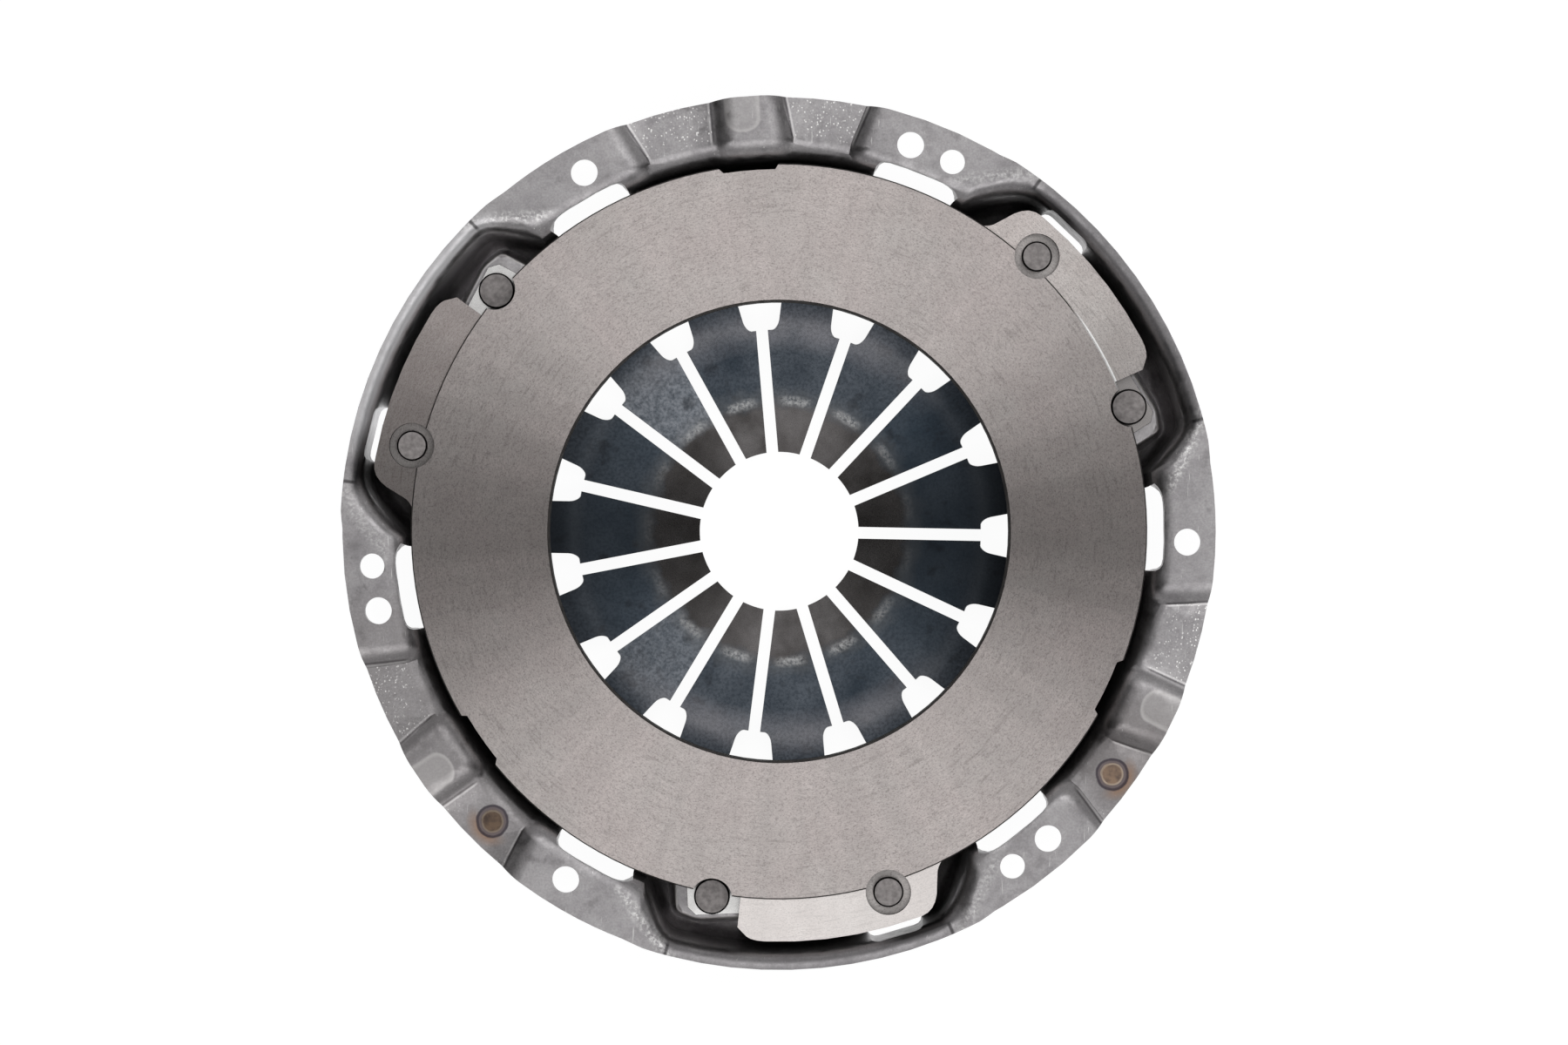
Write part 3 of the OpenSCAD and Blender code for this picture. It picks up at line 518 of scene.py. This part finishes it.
# Diaphragm spring: a coned disc of hardened spring steel, tempered blue-black, slotted into 15
# fingers. The release bearing runs on the finger tips, which are bent flatter and left brown.
FINGERS = 15
PITCH = 360 / FINGERS
FIRST_FINGER = 22.9 - PITCH / 2
SPRING_T = 0.0024
SPRING_EDGE = 0.0005
TIP_R, TIP_BEND_R, CONE_END_R, OUTER_R = 0.0258, 0.0419, 0.0673, 0.1055
WINDOW_IN_R, WINDOW_OUT_R = 0.0653, 0.0878
IN_CORNER, IN_CORNER_SHARE = 0.0034, 0.62
OUT_CORNER, OUT_CORNER_SHARE = 0.0045, 0.55
SLOT_W, NECK_W = 0.0038, 0.0169
CONTACT_R, CONTACT_Z = 0.1035, -0.02405
CONE_SLOPE, FINGER_SLOPE, TIP_SLOPE = 0.158, 0.105, 0.03
CONE_END_Z = CONTACT_Z - CONE_SLOPE * (CONTACT_R - CONE_END_R)
TIP_BEND_Z = CONE_END_Z - FINGER_SLOPE * (CONE_END_R - TIP_BEND_R)
BEND_HALF = 0.003
BELT_RADII = (0.0896, 0.0914, 0.0928, 0.0942, 0.0956, 0.0970, 0.0984, 0.0998, 0.1016, CONTACT_R)
SAME_R, SAME_ANGLE = 0.00002, 0.0005
ACROSS = 12
SHARP_EDGE = math.radians(50)
PALE_FINGERS, PALE_R = ((5.0, 1.0), (9.0, 0.7)), (0.074, 0.066)
SHADED_R, OUTSIDE_R, SMOOTH_R = (0.0570, 0.0650), (0.0672, 0.071), (0.0400, 0.0430)
BEND_BAND, SHEEN_BAND = (0.0628, 0.0662, 0.0672, 0.0705), (0.0580, 0.0635, 0.0675, 0.0745)
BROWN_R, HALO_BAND = (0.0435, 0.0395), (0.0400, 0.0425, 0.0445, 0.0478)
WORN_IN, WORN_OUT, WORN_ACROSS = (0.0402, 0.0422), (0.0448, 0.0428), (8.5, 3.0)
BLUES = ((0.030, 0.039, 0.050), (0.074, 0.086, 0.102))
SIDE_SHADE_BLUE, SHADED_BLUE, OWN_BLUE = (0.019, 0.036, 0.054), (0.022, 0.026, 0.033), (0.11, 0.12, 0.135)
PALE_SCALE, PEENED_BLUE, DARK_SPOT = (0.235, 0.25, 0.275), (0.025, 0.032, 0.042), (0.02, 0.021, 0.024)
BEND_HIGHLIGHT, OUTER_SHADOW, SHEEN_GREY = (0.14, 0.145, 0.155), (0.024, 0.025, 0.028), (0.215, 0.212, 0.23)
BROWNS, OWN_BROWN = ((0.050, 0.046, 0.045), (0.143, 0.136, 0.136)), (0.14, 0.13, 0.13)
TIP_SIDE_SHADE, HALO_GREY, WORN_HIGHLIGHT = (0.014, 0.013, 0.012), (0.14, 0.14, 0.14), (0.42, 0.42, 0.42)


def sharp_front(r):
    """Height of the spring's front face, with sharp bends."""
    if r > CONE_END_R:
        return CONTACT_Z - CONE_SLOPE * (CONTACT_R - r)
    if r > TIP_BEND_R:
        return CONE_END_Z - FINGER_SLOPE * (CONE_END_R - r)
    return TIP_BEND_Z - TIP_SLOPE * (TIP_BEND_R - r)


def spring_front(r):
    """Height of the spring's front face, with the two bends rounded."""
    for bend_r in (CONE_END_R, TIP_BEND_R):
        if abs(r - bend_r) < BEND_HALF:
            low, high = bend_r - BEND_HALF, bend_r + BEND_HALF
            w = (r - low) / (high - low)
            ends = (1 - w) ** 2 * sharp_front(low) + w * w * sharp_front(high)
            return ends + 2 * w * (1 - w) * sharp_front(bend_r)
    return sharp_front(r)


def finger_half_angle(r):
    """Half the finger's angle at a radius: slots inside, a neck between windows, then the belt."""
    whole = math.pi / FINGERS
    slot = whole - math.asin(SLOT_W / 2 / r)
    neck = math.asin(NECK_W / 2 / r)
    if r <= WINDOW_IN_R:
        return slot
    if r < WINDOW_IN_R + IN_CORNER:
        w = (r - WINDOW_IN_R) / IN_CORNER
        return neck + (slot - neck) * IN_CORNER_SHARE * (1 - math.sqrt(1 - (1 - w) ** 2))
    if r < WINDOW_OUT_R - OUT_CORNER:
        return neck
    if r < WINDOW_OUT_R:
        w = (r - WINDOW_OUT_R + OUT_CORNER) / OUT_CORNER
        return neck + (whole - neck) * OUT_CORNER_SHARE * (1 - math.sqrt(1 - w ** 2))
    return whole


def spread(start, end, count):
    """Evenly spaced radii from a start towards an end, which is left out."""
    return [start + i * (end - start) / count for i in range(count)]


finger_radii = spread(TIP_R, TIP_BEND_R - BEND_HALF, 5)
finger_radii += spread(TIP_BEND_R - BEND_HALF, TIP_BEND_R + BEND_HALF, 6)
finger_radii += spread(TIP_BEND_R + BEND_HALF, CONE_END_R - BEND_HALF, 6)
finger_radii += spread(CONE_END_R - BEND_HALF, WINDOW_IN_R, 2)
finger_radii += [WINDOW_IN_R, WINDOW_IN_R + SAME_R]
finger_radii += [WINDOW_IN_R + IN_CORNER * w for w in (0.06, 0.16, 0.3, 0.48, 0.7, 1.0)]
finger_radii += spread(WINDOW_IN_R + IN_CORNER, WINDOW_OUT_R - OUT_CORNER, 5)[1:]
finger_radii += [WINDOW_OUT_R - OUT_CORNER + OUT_CORNER * w for w in (0.0, 0.3, 0.5, 0.7, 0.84, 0.94, 0.995)]
finger_radii += [WINDOW_OUT_R, *BELT_RADII, OUTER_R]

blued_steel, tree, surface = new_finish("blued_steel")
at = object_place(tree)
finger_turn = maths(tree, "ADD", at.degrees, 360 - FIRST_FINGER + PITCH / 2)
finger_turn = maths(tree, "FLOOR", maths(tree, "DIVIDE", finger_turn, PITCH))
finger_turn = maths(tree, "FLOORED_MODULO", finger_turn, FINGERS)
own = add_node(tree, "ShaderNodeTexWhiteNoise", {"W": finger_turn}, noise_dimensions="1D").outputs["Value"]
# Painted shade: the fingers at the left and right are a deeper blue, with darker tips and outer ends.
facing_lights = maths(tree, "ABSOLUTE", maths(tree, "SINE", product(tree, at.degrees, math.pi / 180)))
side_shade = remap(tree, facing_lights, 0.9, 0.6)
cloud = remap(tree, noise(tree, at.coords, 90.0, 4.0), 0.3, 0.7)
peened = remap(tree, noise(tree, at.coords, 1100.0, 3.0), 0.42, 0.62)
blue = lay(tree, *BLUES, cloud)
blue = lay(tree, blue, SIDE_SHADE_BLUE, side_shade, 0.45)
blue = lay(tree, blue, SHADED_BLUE, remap(tree, at.radius, *SHADED_R), side_shade, 0.4)
blue = lay(tree, blue, OWN_BLUE, own, 0.3)
# Two fingers, a third and three fifths of the way round, have a pale mottled scale.
pale = 0.0
for number, share in PALE_FINGERS:
    pale = maths(tree, "ADD", pale, remap(tree, apart(tree, finger_turn, number), 0.5, 0.4, 0.0, share))
pale = product(tree, pale, remap(tree, noise(tree, at.coords, 420.0, 5.0, 0.7), 0.3, 0.6, 0.25, 1.0))
blue = lay(tree, blue, PALE_SCALE, pale, remap(tree, at.radius, *PALE_R), 0.8)
blue = lay(tree, blue, PEENED_BLUE, peened, 0.35)
blue = lay(tree, blue, DARK_SPOT, remap(tree, noise(tree, at.coords, 150.0, 2.0), 0.60, 0.72), 0.5)
# A painted highlight lies along the outer bend, strongest at the top and bottom.
bend_highlight_mask = band(tree, at.radius, *BEND_BAND)
blue = lay(tree, blue, BEND_HIGHLIGHT, bend_highlight_mask, remap(tree, facing_lights, 0.6, 0.9, 0.15, 0.5))
# Painted shadow of the plate darkens the outer ends, most at the left and right.
outer_shadow_mask = remap(tree, at.radius, *OUTSIDE_R)
blue = lay(tree, blue, OUTER_SHADOW, outer_shadow_mask, remap(tree, facing_lights, 0.6, 0.9, 0.35, 0.1))
# A painted grey sheen lies outside and inside the bend, at the top and bottom.
bend_sheen = band(tree, at.radius, *SHEEN_BAND)
bend_sheen = product(tree, bend_sheen, remap(tree, facing_lights, 0.6, 0.95, 0.0, 0.5))
blue = lay(tree, blue, SHEEN_GREY, bend_sheen, remap(tree, noise(tree, at.coords, 75.0, 3.0), 0.35, 0.6, 0.5, 1.2))
# The tips are brown up to an uneven border with a grey halo.
wavy = remap(tree, noise(tree, at.coords, 130.0), 0.3, 0.7, -0.0016, 0.0016)
border = maths(tree, "ADD", at.radius, wavy)
brown = lay(tree, *BROWNS, cloud)
brown = lay(tree, brown, OWN_BROWN, own, 0.35)
# Painted shade darkens the tips at the left and right.
brown = lay(tree, brown, TIP_SIDE_SHADE, remap(tree, facing_lights, 0.98, 0.72, 0.05, 0.56))
colour = lay(tree, blue, brown, remap(tree, border, *BROWN_R))
colour = lay(tree, colour, HALO_GREY, band(tree, border, *HALO_BAND), 0.25)
# The bearing has worn a bright arc at each finger's bend; a painted highlight makes it brightest
# at the top and bottom.
worn_highlight_mask = remap(tree, at.radius, *WORN_IN, kind="SMOOTHSTEP")
worn_highlight_mask = product(tree, worn_highlight_mask, remap(tree, at.radius, *WORN_OUT, kind="SMOOTHSTEP"))
middle = maths(tree, "SUBTRACT", at.degrees, FIRST_FINGER - PITCH / 2)
middle = apart(tree, maths(tree, "FLOORED_MODULO", middle, PITCH), PITCH / 2)
worn_highlight_mask = product(tree, worn_highlight_mask, remap(tree, middle, *WORN_ACROSS, kind="SMOOTHSTEP"))
worn_highlight_mask = product(tree, worn_highlight_mask, remap(tree, facing_lights, 0.35, 0.85, 0.25, 1.4))
worn_highlight_mask = product(tree, worn_highlight_mask, remap(tree, noise(tree, at.coords, 900.0, 4.0, 0.65), 0.35, 0.62))
colour = lay(tree, colour, WORN_HIGHLIGHT, worn_highlight_mask, 0.5)
rough = remap(tree, peened, 0.0, 1.0, 0.33, 0.42)
rough = maths(tree, "ADD", rough, remap(tree, at.radius, *SMOOTH_R, -0.08, 0.0))
relief = maths(tree, "ADD", noise(tree, at.coords, 1300.0, 3.0), noise(tree, at.coords, 330.0, 2.0))
inputs = {"Base Color": colour, "Anisotropic": 0.85, "Tangent": at.outward, "Roughness": rough}
lay_metal(tree, surface, inputs, relief, 0.4, 0.00005)

bpy.ops.object.select_all(action="DESELECT")
rows = len(finger_radii)
bpy.ops.mesh.primitive_grid_add(x_subdivisions=rows - 1, y_subdivisions=ACROSS, size=2)
finger = bpy.context.object
finger.name = "spring_finger"
for vertex in finger.data.vertices:
    r = finger_radii[round((vertex.co.x + 1) / 2 * (rows - 1))]
    a = vertex.co.y * finger_half_angle(r)
    vertex.co = (r * math.cos(a), r * math.sin(a), spring_front(r))
thick = finger.modifiers.new("thick", "SOLIDIFY")
thick.thickness = SPRING_T
thick.offset = -1
bpy.ops.object.modifier_apply(modifier=thick.name)
# All its sharp edges are broken but those where it joins the next finger in the belt.
bpy.ops.object.mode_set(mode="EDIT")
bpy.ops.mesh.select_mode(type="EDGE")
bpy.ops.mesh.select_all(action="DESELECT")
edit = bmesh.from_edit_mesh(finger.data)
belt_side = math.pi / FINGERS
for edge in edit.edges:
    if len(edge.link_faces) == 2 and edge.calc_face_angle() > SHARP_EDGE:
        ends = [(v.co.xy.length, abs(math.atan2(v.co.y, v.co.x))) for v in edge.verts]
        on_joint = all(r > WINDOW_OUT_R - SAME_R and abs(a - belt_side) < SAME_ANGLE for r, a in ends)
        edge.select = not on_joint
bmesh.update_edit_mesh(finger.data)
finger.data.materials.append(blued_steel)
finger.data.materials.append(dark_edge)
bpy.ops.mesh.bevel(offset=SPRING_EDGE, segments=2, affect="EDGES", clamp_overlap=True, material=EDGE_FACES)
bpy.ops.object.mode_set(mode="OBJECT")
even_shading(finger)
fingers = [finger]
for number in range(1, FINGERS):
    bpy.ops.object.select_all(action="DESELECT")
    finger.select_set(True)
    bpy.context.view_layer.objects.active = finger
    bpy.ops.object.duplicate()
    fingers.append(bpy.context.object)
for number, sector_piece in enumerate(fingers):
    sector_piece.name = f"spring_finger_{number + 1:02d}"
    bpy.ops.object.select_all(action="DESELECT")
    sector_piece.select_set(True)
    bpy.context.view_layer.objects.active = sector_piece
    degree = FIRST_FINGER + number * PITCH
    sector_piece.rotation_euler = (0, 0, math.radians(degree))
    bpy.ops.object.transform_apply(location=True, rotation=True, scale=True)
    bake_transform(sector_piece)
    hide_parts("diaphragm_spring")


# Fulcrum rivets: fifteen cold-headed rivets through the windows of the spring. Their heads hold
# the rings and the spring to the cover, and their tails are set on its crown.
RIVET_EDGE = 0.0002
RIVET_TONES = ((0.19, 0.176, 0.173), (0.31, 0.289, 0.284))

rivet_steel, tree, surface = new_finish("rivet_steel")
coords = add_node(tree, "ShaderNodeTexCoord").outputs["Object"]
dull = lay(tree, *RIVET_TONES, remap(tree, noise(tree, coords, 500.0, 4.0), 0.35, 0.65))
relief = noise(tree, coords, 900.0, 3.0)
lay_metal(tree, surface, {"Base Color": dull, "Roughness": 0.5}, relief, 0.3, 0.00005)
finished_copy("fulcrum_rivets", "spring_rivets", RIVET_EDGE, "cover_body",
              rivet_steel, dark_edge)


# Pressure plate: a grey iron casting, turned on its friction face, with three lugs faced a
# little lower and counterbored for the strap rivets. Its sides and back keep their cast skin.
PLATE_EDGE = 0.00025
FACE_Z, LUG_Z, BORE_Z = -0.0045, -0.0053, -0.0087
BELOW = 0.0003
FLAT, SLANTED = 0.95, 0.2
HIGHLIT_STEP_R, FACE_R = 0.116, 0.1175
HIGHLIT_STEP_FROM, HIGHLIT_STEP_TO = 19, 37
STEP_HIGHLIGHT_BAND, STEP_HIGHLIGHT_R = (21.0, 23.5, 33.0, 37.0), (FACE_R + 0.0006, FACE_R + 0.0004)
GROOVES_PER_METRE, GROOVE_BREAKS, SPOKES = 3600.0, 70, 11
SWEEP_STRETCH = (0.16, 0.16, 0.26)
FLECK, SPOKE_TONE = (0.17, 0.155, 0.15), (0.30, 0.285, 0.275)
SWEEP, PORE = (0.27, 0.245, 0.235), (0.14, 0.125, 0.12)
DULL_LUG, BRIGHT_LUG, STEP_HIGHLIGHT = (0.16, 0.125, 0.12), (0.92, 0.88, 0.86), (1.0, 1.0, 0.99)
SKIN_TONES = ((0.035, 0.033, 0.032), (0.085, 0.078, 0.074))
TURNED, FACED, BORED = 2, 3, 4


def turned_finish(name, dark, pale, cooler, roughness, own_lugs=False):
    """Iron turned round the axis: light gathers across the grooves, along the radius. Each lug
    may have its own tone, from a facing cut of its own."""
    finish, tree, surface = new_finish(name)
    at = object_place(tree)
    grooves = vector_maths(tree, "MULTIPLY", at.outward, (GROOVE_BREAKS, GROOVE_BREAKS, 0))
    step = add_node(tree, "ShaderNodeCombineXYZ", {"Z": product(tree, at.radius, GROOVES_PER_METRE)})
    grooves = vector_maths(tree, "ADD", grooves, step.outputs[0])
    lines = noise(tree, grooves, 1.0, 3.0, 0.6)
    patches = remap(tree, noise(tree, at.coords, 34.0, 3.0), 0.36, 0.64)
    blotches = remap(tree, noise(tree, at.coords, 120.0, 3.0), 0.35, 0.65, 0.0, 0.4)
    flecks = remap(tree, noise(tree, grooves, 1.9, 3.0, 0.6), 0.5, 0.68)
    spokes = vector_maths(tree, "MULTIPLY", at.outward, (SPOKES, SPOKES, 0))
    spokes = remap(tree, noise(tree, spokes, 1.0, 4.0, 0.6), 0.38, 0.62)
    sweep = vector_maths(tree, "MULTIPLY", grooves, SWEEP_STRETCH)
    sweep = remap(tree, noise(tree, sweep, 1.0, 2.0), 0.56, 0.7)
    pores = remap(tree, noise(tree, at.coords, 2100.0, 3.0), 0.52, 0.66)
    colour = lay(tree, dark, pale, remap(tree, lines, 0.3, 0.7))
    colour = lay(tree, colour, cooler, patches, 0.35)
    colour = lay(tree, colour, dark, blotches)
    colour = lay(tree, colour, FLECK, flecks, 0.5)
    colour = lay(tree, colour, SPOKE_TONE, spokes, 0.22)
    colour = lay(tree, colour, SWEEP, sweep, remap(tree, patches, 0.2, 0.9, 0.15, 0.5))
    colour = lay(tree, colour, PORE, pores, 0.42)
    if own_lugs:
        lug = maths(tree, "DIVIDE", maths(tree, "FLOORED_MODULO", at.degrees, 360.0), THIRD)
        lug = maths(tree, "FLOOR", lug)
        colour = lay(tree, colour, DULL_LUG, remap(tree, apart(tree, lug, 1.0), 0.6, 0.4, 0.0, 0.32))
        colour = lay(tree, colour, BRIGHT_LUG, remap(tree, lug, 1.4, 1.6, 0.0, 0.35))
        # Painted highlight: a white band on the faced step above the first lug.
        step_highlight_mask = remap(tree, at.radius, *STEP_HIGHLIGHT_R)
        colour = lay(tree, colour, STEP_HIGHLIGHT, band(tree, at.degrees, *STEP_HIGHLIGHT_BAND), step_highlight_mask)
    inputs = {"Base Color": colour, "Roughness": roughness, "Anisotropic": 0.92, "Tangent": at.outward}
    lay_metal(tree, surface, inputs, lines, 0.22, 0.00003)
    return finish


turned_iron = turned_finish("turned_iron", (0.43, 0.382, 0.371), (0.62, 0.56, 0.544),
                            (0.48, 0.468, 0.45), 0.4)
faced_iron = turned_finish("faced_iron", (0.46, 0.41, 0.395), (0.68, 0.63, 0.61),
                           (0.58, 0.57, 0.55), 0.33, True)
bored_iron = turned_finish("bored_iron", (0.38, 0.352, 0.345), (0.56, 0.525, 0.51),
                           (0.46, 0.45, 0.435), 0.42)
cast_skin, tree, surface = new_finish("cast_skin")
coords = add_node(tree, "ShaderNodeTexCoord").outputs["Object"]
skin = lay(tree, *SKIN_TONES, remap(tree, noise(tree, coords, 420.0, 5.0), 0.3, 0.7))
inputs = {"Base Color": skin, "Metallic": 0.55, "Roughness": 0.68}
lay_metal(tree, surface, inputs, noise(tree, coords, 700.0, 5.0), 0.6, 0.00015)

plate = finished_copy("pressure_plate", "cast_plate", PLATE_EDGE, "plate_body",
                      cast_skin, dark_edge)
for finish in (turned_iron, faced_iron, bored_iron):
    plate.data.materials.append(finish)
for face in plate.data.polygons:
    if face.normal.z > FLAT and face.material_index == 0:
        for level, own_finish in ((FACE_Z, TURNED), (LUG_Z, FACED), (BORE_Z, BORED)):
            if face.center.z > level - BELOW:
                face.material_index = own_finish
                break
    # The step above the first lug, towards the cover's rivet, takes the faced finish and its
    # painted highlight.
    turn = math.degrees(math.atan2(face.center.y, face.center.x))
    on_step = face.center.z > LUG_Z and face.center.xy.length > HIGHLIT_STEP_R
    if on_step and HIGHLIT_STEP_FROM < turn < HIGHLIT_STEP_TO and SLANTED < face.normal.z < FLAT:
        face.material_index = FACED


# Drive straps: three packs of three leaves of bright rolled spring strip, with clipped corners.
# They turn the plate with the cover and pull it back, and each leaf bends between its rivets.
STRAP_EDGE = 0.0001
STRAP_ENDS = ((SEAT_DEGREE, SEAT_R), (46.85, 0.1204))
SHADED_PACK, SHADED_PACK_REACH = 33.0, (60.0, 50.0)
UNDER_RIM_R = (0.1190, 0.1172)
STRIP_TONES = ((0.62, 0.61, 0.60), (0.82, 0.81, 0.80))
PACK_SHADE, SHADED_STRIP = (0.15, 0.13, 0.125), (0.04, 0.037, 0.035)

strap_steel, tree, surface = new_finish("strap_steel")
at = object_place(tree)
strip = lay(tree, *STRIP_TONES, noise(tree, at.coords, 350.0, 3.0))
# Painted shade darkens the first pack, and each leaf where the plate's rim hangs over it.
shaded_pack_mask = remap(tree, apart(tree, at.degrees, SHADED_PACK), *SHADED_PACK_REACH, 0.0, 0.72)
strip = lay(tree, strip, PACK_SHADE, shaded_pack_mask)
strip = lay(tree, strip, SHADED_STRIP, remap(tree, at.radius, *UNDER_RIM_R, 0.0, 0.85))
relief = noise(tree, at.coords, 1200.0, 2.0)
lay_metal(tree, surface, {"Base Color": strip, "Roughness": 0.24}, relief, 0.15, 0.00003)
for third, letter in enumerate("abc"):
    ends = [polar_point(degree + THIRD * third, r) for degree, r in STRAP_ENDS]
    along = (ends[1] - ends[0]).normalized()
    for leaf in (1, 2, 3):
        piece = finished_copy(f"strap_{letter}_leaf_{leaf}", f"strap_leaf_{letter}{leaf}", STRAP_EDGE, None,
                              strap_steel, dark_edge)
        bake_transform(piece)


# Strap rivets: one of each pack's rivets goes through the raised seat of the cover, the other
# through the counterbored lug of the plate. Both are dark cold-headed steel.
HEAD_EDGE = 0.00015

for letter in "abc":
    for place, body in (("cover", "cover_body"), ("plate", "plate_body")):
        strap_rivet = finished_copy(f"{place}_strap_rivet_{letter}", f"{place}_rivet_{letter}", HEAD_EDGE,
                                    body, rivet_steel, dark_edge)
        for face in strap_rivet.data.polygons:
            if SLANTED < face.normal.z < FLAT:
                face.material_index = EDGE_FACES


# Balance weights: two turned slugs welded behind the flange when the clutch was balanced. The
# heat has tinted them.
WEIGHT_EDGE = 0.0002
SLUG_STEEL, HEAT_TINT = (0.3, 0.28, 0.26), (0.16, 0.11, 0.085)
TINT_HEIGHTS = (-0.0105, -0.0075)

tinted_steel, tree, surface = new_finish("tinted_steel")
at = object_place(tree)
tint = lay(tree, SLUG_STEEL, HEAT_TINT, remap(tree, at.height, *TINT_HEIGHTS))
rough = remap(tree, noise(tree, at.coords, 600.0), 0.3, 0.7, 0.38, 0.52)
lay_metal(tree, surface, {"Base Color": tint, "Roughness": rough})
for letter in "ab":
    finished_copy(f"balance_weight_{letter}", f"slug_{letter}", WEIGHT_EDGE, "cover_body",
                  tinted_steel, dark_edge)
